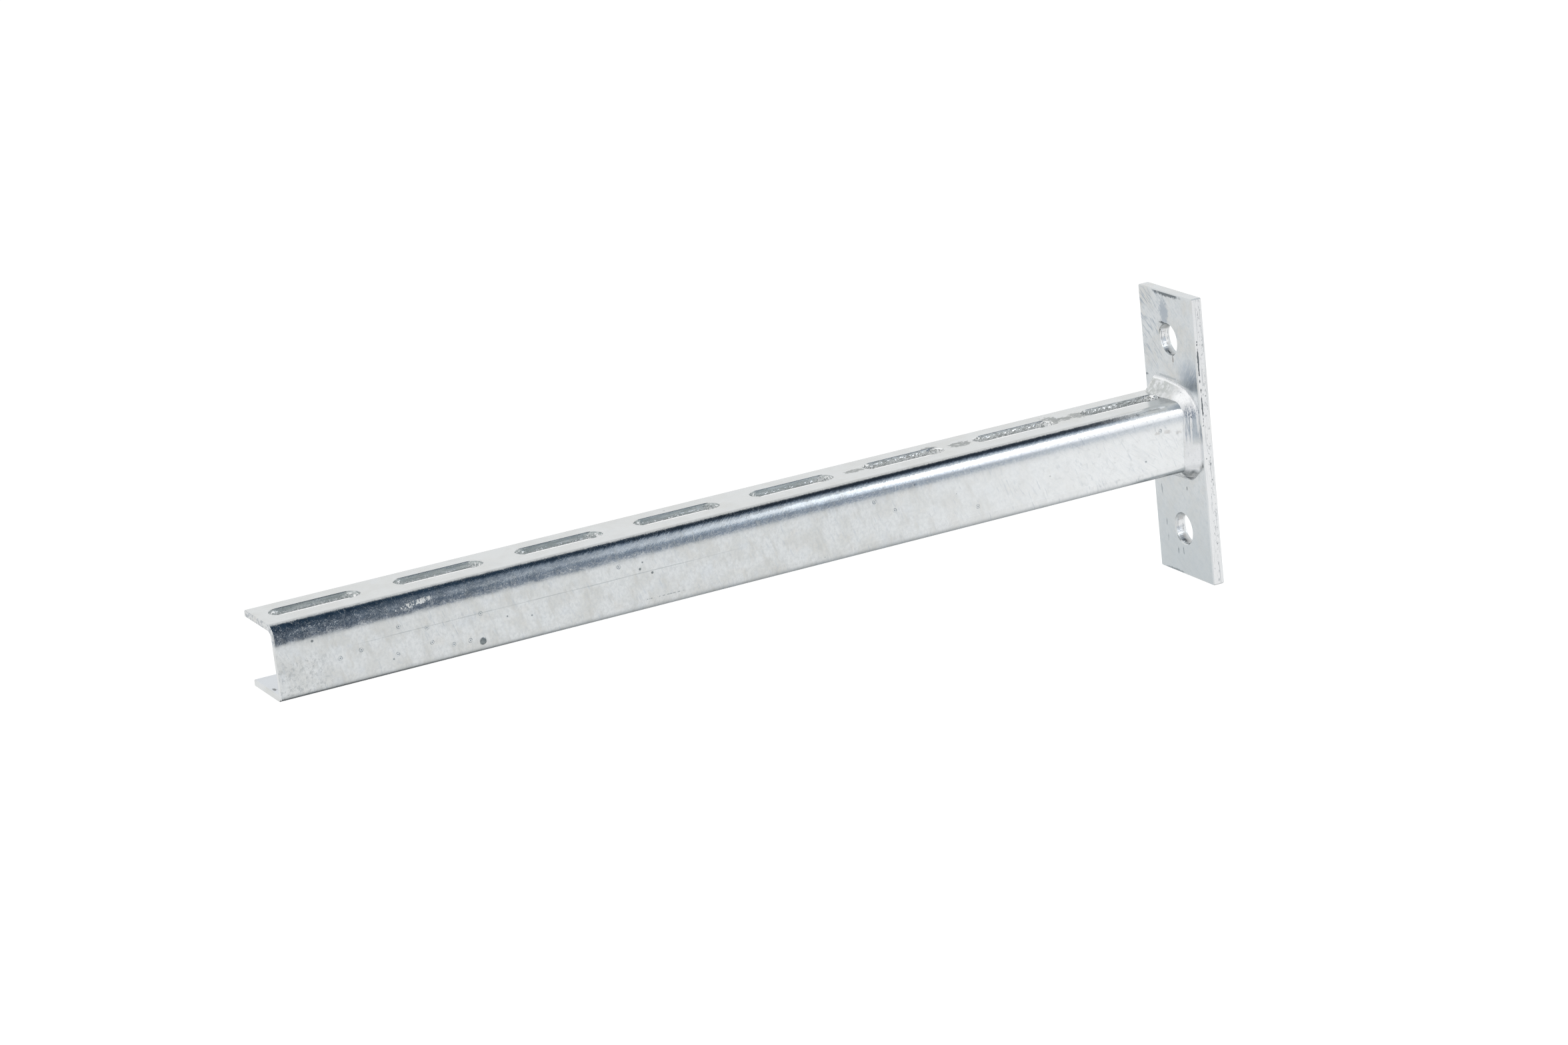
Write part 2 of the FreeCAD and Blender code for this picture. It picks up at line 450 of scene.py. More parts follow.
@dataclass
class ArmChannel(CoatedPart):
    """The slotted channel, folded from one sheet."""

    node: str = "arm_channel"
    finish: Finish = Finish.SHEET
    web_y_mm: float = -14.5
    top_z_mm: float = 17.25
    free_end_x_mm: float = -402.0
    slot_y_mm: float = 2.5
    slot_width_mm: float = 9.0
    slot_pitch_mm: float = 50.0
    first_slot_x_mm: float = -378.5

    def lay_marks(self, layers: CoatLayers) -> None:
        """Adds what the fold, the web, the flanges and the slots show."""
        for lay in (self.lay_fold, self.lay_web, self.lay_web_marks, self.lay_flange, self.lay_slots):
            lay(layers)

    def lay_fold(self, layers: CoatLayers) -> None:
        """Adds what the upper fold shows: a speckle, curling hairs, brushed strokes, a knock and painted
        flecks.

        The real speckle and hairs are about 0.1 mm wide, and are drawn coarser so that they show.

        Args:
            layers: The coat's layers.
        """
        add, x, z = layers.add, layers.x, layers.z
        outer = layers.overlap(add("MapRange", layers.facing_y, 0.3, 0.2, **SMOOTH),
                               add("MapRange", layers.facing_z, 0.998, 0.95, **SMOOTH))
        fold = layers.overlap(add("MapRange", z, 8.6, 11.0, **SMOOTH), outer)
        free_end = add("MapRange", x, -150.0, -390.0, **SMOOTH)
        # The surface leans up from below the fold, which widens the band that mirrors the dark room.
        layers.lean_by(8.5, add("MapRange", z, 7.0, 12.6, **SMOOTH), outer)
        layers.roughen(-0.07, layers.within(z, 14.8, 17.0, 1.2), outer)
        layers.roughen(-0.05, layers.within(z, 13.2, 17.0, 0.8), layers.within(x, -130.0, 0.0, 40.0), outer)

        steady = add("MapRange", z, 10.0, 13.5, 0.45, 1.0)
        layers.lean_by(18.0, layers.swell((0.7, 0.6, 0.6), detail=3.0, rough=0.7, shift=2.2), fold, steady)
        wavy = add("MapRange", x, -200.0, -280.0, 0.25, 1.0, **SMOOTH)
        layers.lean_by(9.0, layers.swell((4.0, 3.0, 2.0), detail=3.0, rough=0.6, shift=16.4), fold, wavy)
        murk = layers.blotches((3.2, 2.6, 1.8), 0.42, 0.62, detail=4.0, rough=0.65, shift=20.7)
        layers.paint("#8E969E", 0.75, murk, fold, free_end)
        # Painted reflection: bluish flecks along the foot of the fold, where it mirrors a bluish haze.
        flecks = layers.blotches((1.6, 0.9, 0.5), 0.47, 0.60, detail=4.0, rough=0.7, shift=21.9)
        layers.paint("#9AA6B8", 0.55, flecks, outer, layers.within(z, 10.4, 11.8, 1.0))

        speckle = layers.grains((0.40, 0.30, 0.55), detail=1.0, rough=0.6, shift=4.4)
        speckle = add("MapRange", speckle, 0.46, 0.72)
        patches = layers.grains((5, 3, 2.5), detail=4.0, rough=0.65, shift=6.1)
        patches = add("MapRange", patches, 0.38, 0.62, 0.25, 1.0)
        lower = add("MapRange", z, 16.2, 13.6, 0.24, 1.0, **SMOOTH)
        speckled = add("MapRange", x, -40.0, -300.0, 0.5, 1.0, **SMOOTH)
        calm = add("MapRange", x, -330.0, -395.0, 1.0, 0.6, **SMOOTH)
        layers.roughen(0.21, speckle, patches, fold, speckled, lower, steady, calm)
        dusting = layers.blotches((0.9, 0.7, 0.6), 0.56, 0.68, detail=3.0, rough=0.7, shift=24.9)
        layers.roughen(0.24, dusting, fold, free_end, layers.within(z, 12.6, 15.7, 0.6))

        curled = add("MapRange", x, -150.0, -240.0, **SMOOTH)
        for size_mm, lean, shift in (((1.1, 2.0, 3.6), 18, 8.3), ((1.0, 2.0, 4.2), -35, 5.9)):
            sparse = layers.blotches((2.5, 2.5, 2.5), 0.45, 0.60, shift=shift + 1)
            hairs = layers.hairs(size_mm, 0.009, detail=1.0, turn=(0, lean, 0), shift=shift)
            layers.roughen(0.40, hairs, sparse, fold, curled)

        strokes = layers.swell((0.42, 7.0, 6.0), detail=3.0, rough=0.75, turn=(0, 40, -35), shift=9.9)
        fainter = add("MapRange", x, -230.0, -170.0, 1.0, 0.35, **SMOOTH)
        layers.lean_by(32.0, strokes, layers.within(x, -290.0, 0.0, 70.0), outer,
                       layers.within(z, 12.6, 16.0, 0.9), fainter)
        nicks = layers.blotches((0.5, 30.0, 30.0), 0.72, 0.76, detail=1.0, shift=12.5)
        layers.roughen(0.15, nicks, fold, layers.within(z, 11.0, 15.0, 1.0))

        knock = layers.spot((-343.5, self.web_y_mm, 13.6), (8.5, 3.0, 1.1), ragged=0.35, tooth_mm=1.6,
                            lean=-8)
        layers.lean_by(-29.0, knock, layers.blotches((0.8, 2.0, 1.4), 0.46, 0.54, rough=0.7, shift=5.6))

    def lay_web(self, layers: CoatLayers) -> None:
        """Adds the web's drain streaks, mottling, stains, scratches and painted highlights by the plate.

        The real threads and scratches are about 0.1 mm wide, and are drawn coarser so that they show.

        Args:
            layers: The coat's layers.
        """
        add, x, z = layers.add, layers.x, layers.z
        web = self.web_mask(layers)
        near_plate = add("MapRange", x, -180.0, -25.0, **SMOOTH)
        runs = layers.blotches((3.5, 12, 10), 0.50, 0.70, detail=3.0, rough=0.6, turn=(0, -14, 0), shift=13.1)
        layers.paint("#BFBFBB", 0.48, runs, web)
        mottle = layers.blotches((1.3, 1.5, 1.6), 0.40, 0.64, detail=4.0, rough=0.7, shift=17.3)
        layers.paint("#BEC2C4", 0.44, mottle, web)
        # Painted highlight: the web is paler towards the plate.
        layers.paint("#EEF0F1", 0.72, near_plate, web)
        stains = layers.blotches((3.2, 3.0, 2.6), 0.52, 0.72, detail=4.0, rough=0.7, shift=22.6)
        layers.paint("#C2C5C6", 0.45, stains, near_plate, web)
        wiped = layers.blotches((1.7, 20, 12), 0.48, 0.72, detail=3.0, rough=0.6, turn=(0, -42, 0),
                                shift=23.8)
        layers.paint("#CDD2D6", 0.28, wiped, near_plate, web)
        # Painted highlight: a near-white band low on the fold by the plate, where it mirrors the window.
        highlight_near_plate = add("MapRange", x, -160.0, -95.0, **SMOOTH)
        layers.paint("#FEFEFE", 0.95, layers.within(z, 12.3, 14.2, 0.9), web, highlight_near_plate)
        threads = layers.blotches((0.7, 8, 5), 0.60, 0.75, turn=(0, -20, 0), shift=14.9)
        layers.paint("#B4BCC5", 0.38, threads, web)
        cluster = layers.spot((-331.0, self.web_y_mm, 0.5), (7.0, 2.0, 5.5), ragged=0.4, tooth_mm=5.0,
                              soft=0.6)
        layers.paint("#A3AAB2", 0.6, cluster, threads, web)
        layers.paint("#8F9698", 0.7, layers.specks(6.0, 0.30, 0.45, shift=1.9), web)
        smudge = layers.blotches((1.3, 1.3, 1.5), 0.48, 0.66, detail=4.0, rough=0.75, shift=7.2)
        layers.paint("#A0A5A8", 0.60, smudge, web, layers.within(x, -402, -388, 12),
                     layers.within(z, -12, 0, 6))
        above_fold = add("MapRange", z, -8.5, -6.5, **SMOOTH)
        for lean, shift in ((-38, 10.4), (-52, 19.2)):
            rubs = layers.blotches((0.32, 30, 15), 0.68, 0.78, detail=1.0, turn=(0, lean, 0), shift=shift)
            layers.paint("#A9B3BD", 0.35, rubs, web, near_plate, above_fold)

    def lay_web_marks(self, layers: CoatLayers) -> None:
        """Adds the web's single marks: rings, dark specks, a blister, a scored line and a dotted one.

        Args:
            layers: The coat's layers.
        """
        add, x, z = layers.add, layers.x, layers.z
        web = self.web_mask(layers)
        rings_mm = ((-377.5, -0.6), (-369, 0.6), (-355, -4.6), (-353.3, 5.9), (-342.3, 2.7), (-320.4, 3.0),
                    (-325.8, -6.3), (-341, -3.3), (-332.5, -6.2), (-262.5, 7.6), (-151.9, 8.1), (-20.9, 7.9),
                    (-106.6, -4.1), (-143.4, 2.7))
        ring = self.from_nearest(layers, rings_mm)
        broken = layers.blotches((1.2, 1.2, 1.2), 0.40, 0.60, least=0.2, shift=18.8)
        layers.paint("#7C868E", 0.85, layers.within(ring, 0.68, 0.84, 0.14), web, broken)
        layers.paint("#6A7885", 0.8, add("MapRange", ring, 0.36, 0.20, **SMOOTH), web)
        dark_mm = ((-387.4, 8.5), (-249.0, 2.2), (-253.9, 4.7))
        faint_mm = ((-309.9, -0.6), (-300.0, -2.6), (-252.6, 7.1), (-356.8, -6.0), (-28.6, -3.2))
        for specks_mm, edge_mm, core_mm, colour, share in ((dark_mm, 0.65, 0.35, "#5F686C", 0.85),
                                                           (faint_mm, 0.5, 0.2, "#6F797E", 0.8)):
            away = self.from_nearest(layers, specks_mm)
            layers.paint(colour, share, add("MapRange", away, edge_mm, core_mm, **SMOOTH), web)
        for mark_x, mark_z, length in ((-17.5, 6.9, 1.5), (-12.4, 5.6, 1.2), (-22.3, 7.2, 0.9)):
            mark = layers.spot((mark_x, self.web_y_mm, mark_z), (length, 1.0, 0.6), ragged=0.8, tooth_mm=0.6,
                               soft=0.7)
            layers.paint("#A9A49F", 0.4, mark)

        blister = layers.spot((-320.8, self.web_y_mm, -7.8), (1.40, 1.0, 1.25), ragged=0.08, lean=-20)
        layers.paint("#747C7F", 1.0, blister)
        layers.roughen(0.25, blister)
        pocked = layers.blotches((1.0, 1.0, 1.0), 0.50, 0.64, shift=25.3)
        layers.paint("#8D9495", 0.8, pocked, blister)
        layers.raise_by(0.2, blister)

        wobble = layers.grains((60, 60, 60), detail=1.0, shift=3.7)
        level = add("Math", wobble, 1.2, add("Math", z, 0.6, operation="SUBTRACT"), operation="MULTIPLY_ADD")
        worn = layers.blotches((9, 30, 30), 0.36, 0.55, least=0.45, shift=2.8)
        layers.paint("#9AA1A4", 0.55, layers.within(level, 3.02, 3.14, 0.16),
                     layers.within(x, -355, -225, 22), web, worn)
        dots = layers.blotches((0.9, 5, 5), 0.48, 0.54, shift=6.6)
        layers.paint("#8D9496", 0.7, layers.within(z, -7.9, -7.6, 0.1), layers.within(x, -252, -238, 2), web,
                     dots)

    @staticmethod
    def web_mask(layers: CoatLayers) -> Value:
        """A mask that is 1 where the sheet faces -Y, on the web's outside."""
        return layers.add("MapRange", layers.facing_y, -0.10, -0.30, **SMOOTH)

    def from_nearest(self, layers: CoatLayers, places_mm: Profile) -> Value:
        """The distance to the nearest of some places on the web, each given by its X and Z."""
        return layers.nearest([(place_x, self.web_y_mm, place_z) for place_x, place_z in places_mm])

    def lay_flange(self, layers: CoatLayers) -> None:
        """Adds the flanges' drain runs, the dull patches between the last slots, one scratch and painted
        shade.

        Args:
            layers: The coat's layers.
        """
        add = layers.add
        top = add("MapRange", layers.facing_z, 0.90, 0.98, **SMOOTH)
        # Painted shade: the faces that look up are a shade darker than the rest of the sheet.
        layers.paint("#D2D5D5", 0.5, top)
        runs = layers.blotches((6, 3, 20), 0.50, 0.70, detail=3.0, turn=(0, 0, 24), shift=15.3)
        layers.paint("#C9CAC6", 0.2, runs, top)
        grit = layers.blotches((2.2, 1.2, 1.0), 0.30, 0.48, detail=3.0, rough=0.7, shift=3.4)
        for patch_x, patch_y, length, width in ((-103.0, 2.6, 4.4, 3.4), (-115.0, 6.2, 3.2, 2.6),
                                                (-62.0, 0.6, 3.6, 2.2), (-59.5, 5.4, 3.4, 4.4),
                                                (-54.5, 2.4, 3.4, 2.6), (-48.0, 2.6, 3.6, 3.6),
                                                (-151.0, 1.8, 4.4, 2.0)):
            patch = layers.spot((patch_x, patch_y, self.top_z_mm), (length, width, 3.0), ragged=0.45,
                                tooth_mm=1.6)
            layers.paint("#7E8483", 0.9, patch, top, grit)
        layers.paint("#8F9698", 0.8, layers.specks(8.0, 0.25, 0.5, shift=4.8), top)
        inside = layers.overlap(top, add("MapRange", layers.z, -9.0, -9.5))
        layers.paint("#C9D0DA", 0.5, inside)
        scratch = layers.spot((-400.4, -3.0, -10.0), (0.7, 1.5, 1.0), ragged=0.6, tooth_mm=0.9)
        layers.paint("#4A5055", 0.9, inside, scratch)

    def lay_slots(self, layers: CoatLayers) -> None:
        """Adds the slots' punched walls, duller than the sheet: drawn streaks, zinc beads, painted
        highlights.

        The punch's real streaks are about 0.2 mm wide, and are drawn coarser so that they show.

        Args:
            layers: The coat's layers.
        """
        add, x = layers.add, layers.x
        half = self.slot_width_mm / 2 + 0.1
        upright = add("MapRange", add("Math", layers.facing_z, operation="ABSOLUTE"), 0.65, 0.5)
        past_sawn_end = add("MapRange", x, self.free_end_x_mm + 1, self.free_end_x_mm + 2)
        wall = layers.overlap(layers.within(layers.y, self.slot_y_mm - half, self.slot_y_mm + half, 0.1),
                              upright, past_sawn_end)
        layers.paint("#C6CCCC", 0.9, wall)
        crust_and_sheen = add("MapRange", x, -190.0, -130.0, **SMOOTH)
        # Painted highlight and crust: the walls near the plate are paler, under darker blotches of crust.
        layers.paint("#F2F4F3", 0.9, wall, crust_and_sheen)
        layers.roughen(0.15, wall)
        streaks = layers.blotches((9.0, 2.0, 0.5), 0.46, 0.62, detail=3.0, rough=0.6, shift=9.4)
        layers.paint("#F0F3F3", 0.7, streaks, wall)
        crust = layers.blotches((2.4, 2.4, 1.0), 0.46, 0.58, detail=4.0, rough=0.7, shift=2.9)
        layers.paint("#9C9E9C", 0.6, crust, wall, crust_and_sheen)

        # Beads hang in the lower half of the walls, more of them at the slots' round ends and near the plate.
        half_pitch = self.slot_pitch_mm / 2
        away = add("Math", add("Math", x, self.first_slot_x_mm, operation="SUBTRACT"), half_pitch,
                   sockets={WRAP_START: -half_pitch}, operation="WRAP")
        ends = add("MapRange", add("Math", away, operation="ABSOLUTE"), 12.0, 15.0, 0.0, 0.10, **SMOOTH)
        more = add("Math", ends, add("Math", crust_and_sheen, 0.08, operation="MULTIPLY"), operation="ADD")
        bumps = add("Math", layers.grains((0.9, 0.9, 0.8), detail=1.0, shift=5.1), more, operation="ADD")
        depth = add("Math", layers.z, add("Math", more, 9.0, operation="MULTIPLY"), operation="SUBTRACT")
        low = add("MapRange", depth, self.top_z_mm - 1.5, self.top_z_mm - 2.3, **SMOOTH)
        beads = layers.overlap(add("MapRange", bumps, 0.56, 0.66, **SMOOTH), wall, low)
        # Painted glints: the raised beads of zinc are painted near-white.
        layers.paint("#FCFDFD", 1.0, beads)
        layers.raise_by(0.35, beads)


@dataclass
class BackPlate(CoatedPart):
    """The back plate, cut from flat bar and drilled twice."""

    node: str = "back_plate"
    finish: Finish = Finish.BAR
    front_x_mm: float = -5.0
    side_y_mm: float = -20.0
    hole_z_mm: float = 40.0
    hole_radius_mm: float = 6.5
    # Centre, half lengths and colour of each dent, drip and scuff on the front, along Y and Z.
    nicks: tuple[tuple[Pair, Pair, str], ...] = (
        ((-1.0, 59.3), (8.5, 1.1), "#4F585F"), ((1.6, 51.0), (2.8, 5.0), "#A6AFB8"),
        ((-2.5, 31.9), (0.5, 1.6), "#8C8884"), ((3.0, 46.6), (2.2, 0.5), "#454B50"),
        ((-5.2, -21.7), (0.35, 0.9), "#5F666A"), ((5.4, -50.3), (0.4, 1.4), "#858E94"),
        ((1.4, -49.6), (0.3, 1.8), "#858E94"), ((18.9, 22.6), (1.1, 0.5), "#7A8288"),
        ((9.6, -59.6), (7.0, 0.7), "#7A8287"), ((12.8, -39.6), (0.4, 1.4), "#9FA7AC"),
        ((12.5, -46.0), (0.4, 1.4), "#A6ADB1"), ((14.5, -25.0), (0.4, 2.2), "#8F979C"),
        ((2.0, 24.0), (7.0, 0.5), "#AEB4B8"))

    def lay_marks(self, layers: CoatLayers) -> None:
        """Adds what the front, the long edges and the holes show."""
        for lay in (self.lay_face, self.lay_sheared_edge, self.lay_holes):
            lay(layers)

    def lay_face(self, layers: CoatLayers) -> None:
        """Adds the front's clouds and nicks, with painted shade low down and painted light by the weld.

        Args:
            layers: The coat's layers.
        """
        add, x = layers.add, self.front_x_mm
        front = add("MapRange", layers.facing_x, -0.80, -0.95, **SMOOTH)
        # Painted shade: the front grows darker towards the bottom.
        layers.paint("#BFC6C9", 0.8, add("MapRange", layers.z, -5.0, -60.0, **SMOOTH), front)
        swirls = layers.blotches((5, 5, 0.7), 0.50, 0.68, detail=3.0, turn=(38, 0, 0), shift=1.7)
        layers.paint("#AAB3BA", 0.18, swirls, front)
        upper_left = layers.spot((x, 13.0, 46.0), (4, 12.0, 16.0), ragged=0, soft=0.5)
        layers.paint("#96A2AE", 0.75, swirls, upper_left, front)
        mottle = layers.blotches((2, 2.2, 2.2), 0.46, 0.66, detail=4.0, rough=0.7, shift=8.1)
        layers.paint("#B9C1C6", 0.4, mottle, front)

        # Painted reflection of the dark room: a brushed blue-grey patch beside the weld.
        dark_reflection = layers.spot((x, -17.0, 25.5), (3, 9.0, 7.0), ragged=0.15, tooth_mm=5.0, soft=0.8)
        brushed = layers.blotches((4, 0.7, 4.0), 0.30, 0.62, least=0.55, detail=3.0, turn=(40, 0, 0),
                                  shift=2.5)
        clear_of_weld = add("MapRange", layers.nearest([(x, -9.5, 12.25)]), 8.6, 11.0, **SMOOTH)
        layers.paint("#8695A6", 0.75, dark_reflection, front, brushed, clear_of_weld)
        # Painted highlight: a pale halo beside the weld's upper toe.
        bright = layers.spot((x, -18.0, 17.5), (3, 2.4, 3.0), ragged=0, soft=0.7)
        layers.paint("#F3F5F6", 0.8, front, bright)
        for (centre_y, centre_z), (half_width, half_height), colour in self.nicks:
            nick = layers.spot((x, centre_y, centre_z), (1.0, half_width, half_height), ragged=0.5,
                               tooth_mm=1.2, soft=0.35)
            layers.paint(colour, 0.85, nick, front)

    def lay_sheared_edge(self, layers: CoatLayers) -> None:
        """Adds the lengthwise lines, gaps and pits of the plate's sheared long edges.

        The real lines are about 0.2 mm wide, and are drawn coarser so that they show.

        Args:
            layers: The coat's layers.
        """
        add = layers.add
        side = add("MapRange", add("Math", layers.facing_y, operation="ABSOLUTE"), 0.80, 0.95, **SMOOTH)
        layers.paint("#E9EAEB", 0.8, side)
        lines = layers.grains((0.55, 3, 14), rough=0.6, shift=8.8)
        layers.paint("#B4B8BB", 0.6, add("MapRange", lines, 0.55, 0.70, **SMOOTH), side)
        layers.raise_by(0.12, lines, side)
        layers.paint("#83898D", 0.8, layers.specks(2.0, 0.45, 0.5, shift=3.3), side)
        scuffs = layers.blotches((0.8, 2, 1.6), 0.54, 0.66, detail=3.0, rough=0.7, shift=4.1)
        layers.paint("#9DA2A6", 0.7, scuffs, side, layers.within(layers.x, -2.6, -1.2, 0.6))
        for gap_x, gap_z, half_length in ((-3.8, 34.0, 7.0), (-3.6, 14.5, 5.5)):
            gap = layers.spot((gap_x, self.side_y_mm, gap_z), (0.32, 1.0, half_length), ragged=0.55,
                              tooth_mm=1.6)
            layers.paint("#5C6368", 0.9, gap)
            layers.roughen(0.3, gap)

    def lay_holes(self, layers: CoatLayers) -> None:
        """Adds the drilled walls of the bolt holes, with runs of zinc.

        Args:
            layers: The coat's layers.
        """
        add = layers.add
        wall = add("MapRange", add("Math", layers.facing_x, operation="ABSOLUTE"), 0.5, 0.3)
        for sign in (-1, 1):
            hole_z = sign * self.hole_z_mm
            bore = layers.spot((self.front_x_mm / 2, 0, hole_z),
                               (8, self.hole_radius_mm, self.hole_radius_mm), ragged=0, soft=0.03)
            runs = layers.grains((6, 1.6, 1.6), shift=6.2 + sign)
            layers.raise_by(0.5, bore, wall, runs)
            layers.paint("#8E8A88", 0.7, bore, wall, add("MapRange", runs, 0.50, 0.62, **SMOOTH))
            bottom = add("MapRange", layers.z, hole_z - 2.0, hole_z - 5.0, **SMOOTH)
            layers.paint("#8B8987", 0.8, bore, wall, bottom)


@dataclass
class FilletWeld:
    """The fillet weld round the arm's foot: a bead along both flanges and the web, carried round the folds.

    A place on the bead has a station: 0 to 1 along the upper flange, to 2 round the upper fold, to 3 down
    the web, to 4 round the lower fold and to 5 along the lower flange. The legs are given by station.
    """

    node: str = "fillet_weld"
    finish: Finish = Finish.WELD
    sheet_edge_mm: float = 0.6
    fold_radius_mm: float = 5.0
    leg_mm: float = 5.1
    sunk_mm: float = 0.3                # how far the bead reaches into the arm and the plate
    end_round_mm: float = 1.3
    end_share: float = 0.25             # the size of the bead at its very ends
    face_points: int = 27
    step_mm: float = 0.3
    wander_mm: float = 0.14             # how far the toes stray
    drop_place_mm: Point = (-11.6, 3.0, 16.6)
    drop_radii_mm: Point = (1.4, 1.9, 1.0)
    drop_uneven: float = 0.25
    root_x: float = field(init=False)   # this and the next four are read from the frame, in millimetres
    start_y: float = field(init=False)
    fold_y: float = field(init=False)
    upper_z: float = field(init=False)
    lower_z: float = field(init=False)
    plate_legs_mm: Profile = ((0, 5.9), (0.4, 6.1), (0.75, 5.6), (1, 4.7), (1.3, 4.0), (1.6, 4.2), (2, 5.0),
                              (2.5, 5.4), (2.9, 5.2), (3.25, 3.5), (3.6, 2.9), (4.1, 4.8), (5, 5.6))
    arm_legs_mm: Profile = ((0, 5.3), (0.5, 5.9), (0.9, 5.1), (1.5, 4.9), (2, 4.4), (2.4, 5.2), (3, 5.8),
                            (3.7, 5.0), (5, 5.0))

    def dress(self, nodes: dict[str, bpy.types.Object]) -> bpy.types.Object:
        """Builds the bead in place of the plain solid.

        Args:
            nodes: The frame's nodes by name.

        Returns:
            The bead.
        """
        arm_low, arm_high = (Vector(corner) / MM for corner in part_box("arm_channel"))
        self.root_x = arm_high.x
        self.start_y = arm_high.y - self.sheet_edge_mm
        self.fold_y = arm_low.y + self.fold_radius_mm
        self.upper_z = arm_high.z - self.fold_radius_mm
        self.lower_z = arm_low.z + self.fold_radius_mm
        shape = self.swept_bead()
        for face in shape.faces:
            face.smooth = all(self.on_face(vert.co) for vert in face.verts)
        for vert in shape.verts:
            vert.co = self.moved(vert.co)
        bmesh.ops.edgeloop_fill(shape, edges=[edge for edge in shape.edges if edge.is_boundary])
        self.add_drop(shape)
        bmesh.ops.recalc_face_normals(shape, faces=shape.faces)
        bmesh.ops.scale(shape, verts=shape.verts, vec=(MM, MM, MM))
        bead = new_piece("weld_bead", shape, self.coat())
        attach(bead, "root")
        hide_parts(self.node)
        return bead

    def swept_bead(self) -> bmesh.types.BMesh:
        """Sweeps a plain fillet along the upper flange, round the web and back along the lower flange.

        Returns:
            The bead's shape in millimetres, open at both ends.
        """
        shape = bmesh.new()
        root = Vector((self.root_x, self.start_y, self.upper_z + self.fold_radius_mm))
        along, outward = Vector((-1, 0, 0)), Vector((0, 0, 1))
        points = [outward * self.leg_mm - along * self.sunk_mm]
        for index in range(self.face_points):
            share = index / (self.face_points - 1)
            points.append((outward * (1 - share) + along * share) * self.leg_mm)
        points += [along * self.leg_mm - outward * self.sunk_mm, -(along + outward) * self.sunk_mm]
        verts = [shape.verts.new(root + point) for point in points]
        ring = verts + [shape.edges.new((vert, verts[index - 1])) for index, vert in enumerate(verts)]
        flange, web = self.start_y - self.fold_y, self.upper_z - self.lower_z
        turn_length = (self.fold_radius_mm + self.leg_mm / 2) * math.pi / 2
        runs = ((flange, (0, -1, 0), 0, 0), (turn_length, (0, 0, 0), math.pi / 2, self.upper_z),
                (web, (0, 0, -1), 0, 0), (turn_length, (0, 0, 0), math.pi / 2, self.lower_z),
                (flange, (0, 1, 0), 0, 0))
        for length, direction, turn, centre_z in runs:
            steps = round(length / self.step_mm)
            ring = bmesh.ops.spin(shape, geom=ring, cent=(0, self.fold_y, centre_z), axis=(1, 0, 0),
                                  angle=turn, dvec=Vector(direction) * length / steps,
                                  steps=steps)["geom_last"]
        return shape

    def station(self, place: Vector) -> tuple[float, Vector, Vector]:
        """Finds where a place lies along the bead.

        Args:
            place: The place in millimetres.

        Returns:
            Its station, the corner between arm and plate beside it, and the direction out from the arm.
        """
        upper = place.z > (self.upper_z + self.lower_z) / 2
        centre = Vector((self.root_x, self.fold_y, self.upper_z if upper else self.lower_z))
        flange = self.start_y - self.fold_y
        if place.y >= self.fold_y:
            outward = Vector((0, 0, 1 if upper else -1))
            along = (place.y - self.fold_y) / flange
            root = Vector((self.root_x, place.y, centre.z)) + outward * self.fold_radius_mm
            return (1 - along if upper else 4 + along), root, outward
        if self.lower_z <= place.z <= self.upper_z:
            root = Vector((self.root_x, self.fold_y - self.fold_radius_mm, place.z))
            return 2 + (self.upper_z - place.z) / (self.upper_z - self.lower_z), root, Vector((0, -1, 0))
        outward = Vector((0, place.y - self.fold_y, place.z - centre.z)).normalized()
        turn = math.atan2(-outward.y, abs(outward.z)) / (math.pi / 2)
        return (1 + turn if upper else 4 - turn), centre + outward * self.fold_radius_mm, outward

    def on_face(self, place: Vector) -> bool:
        """Whether a place of the plain fillet lies on the face that shows."""
        _, root, outward = self.station(place)
        return self.root_x - place.x + (place - root).dot(outward) > self.leg_mm - self.sunk_mm / 2

    @staticmethod
    def leg_at(station: float, legs_mm: Profile) -> float:
        """Reads a leg, which changes smoothly between the stations where it is given.

        Args:
            station: The station.
            legs_mm: Stations and the legs there.

        Returns:
            The leg.
        """
        for (start, leg), (end, next_leg) in zip(legs_mm, legs_mm[1:]):
            if station <= end:
                share = max(0.0, (station - start) / (end - start))
                share = share * share * (3 - 2 * share)
                return leg + (next_leg - leg) * share
        return legs_mm[-1][1]

    @staticmethod
    def relief(place: Vector, station: float, across: float) -> float:
        """The height of the bead's face above the flat between its toes.

        Args:
            place: The place in millimetres.
            station: Its station.
            across: 0 at the plate to 1 at the arm.

        Returns:
            The height in millimetres.
        """
        upper_part = max(0.0, 1 - abs(station - 0.9) / 1.5)
        web_top = max(0.0, 1 - abs(station - 2.25) / 0.6)
        arch = math.sin(math.pi * across)
        # A low crown, which sinks to a hollow along the upper flange, and a rolled lip on the plate's side.
        height = 0.30 * arch - 0.55 * arch * max(0.0, 1 - station) ** 0.5
        height += (0.06 + 0.14 * upper_part) * bell(across, 0.11, 0.10)
        # Ridges between the runs at the top of the web, an uneven face, and a ripple below the upper fold.
        height += 0.16 * web_top * arch * math.cos(7.0 * math.pi * across + 0.6)
        height += 0.16 * arch * noise.noise(place / 2.4)
        height += 0.22 * bell(station, 1.98, 0.16) * arch * noise.noise(place / 0.75)
        # A dip across the upper flange's bead and a crater at the lower fold.
        height -= 0.30 * bell(station, 0.36 + 0.10 * across, 0.035) * arch
        height -= 0.5 * bell(station, 3.5, 0.22) * bell(across, 0.45, 0.25)
        return height

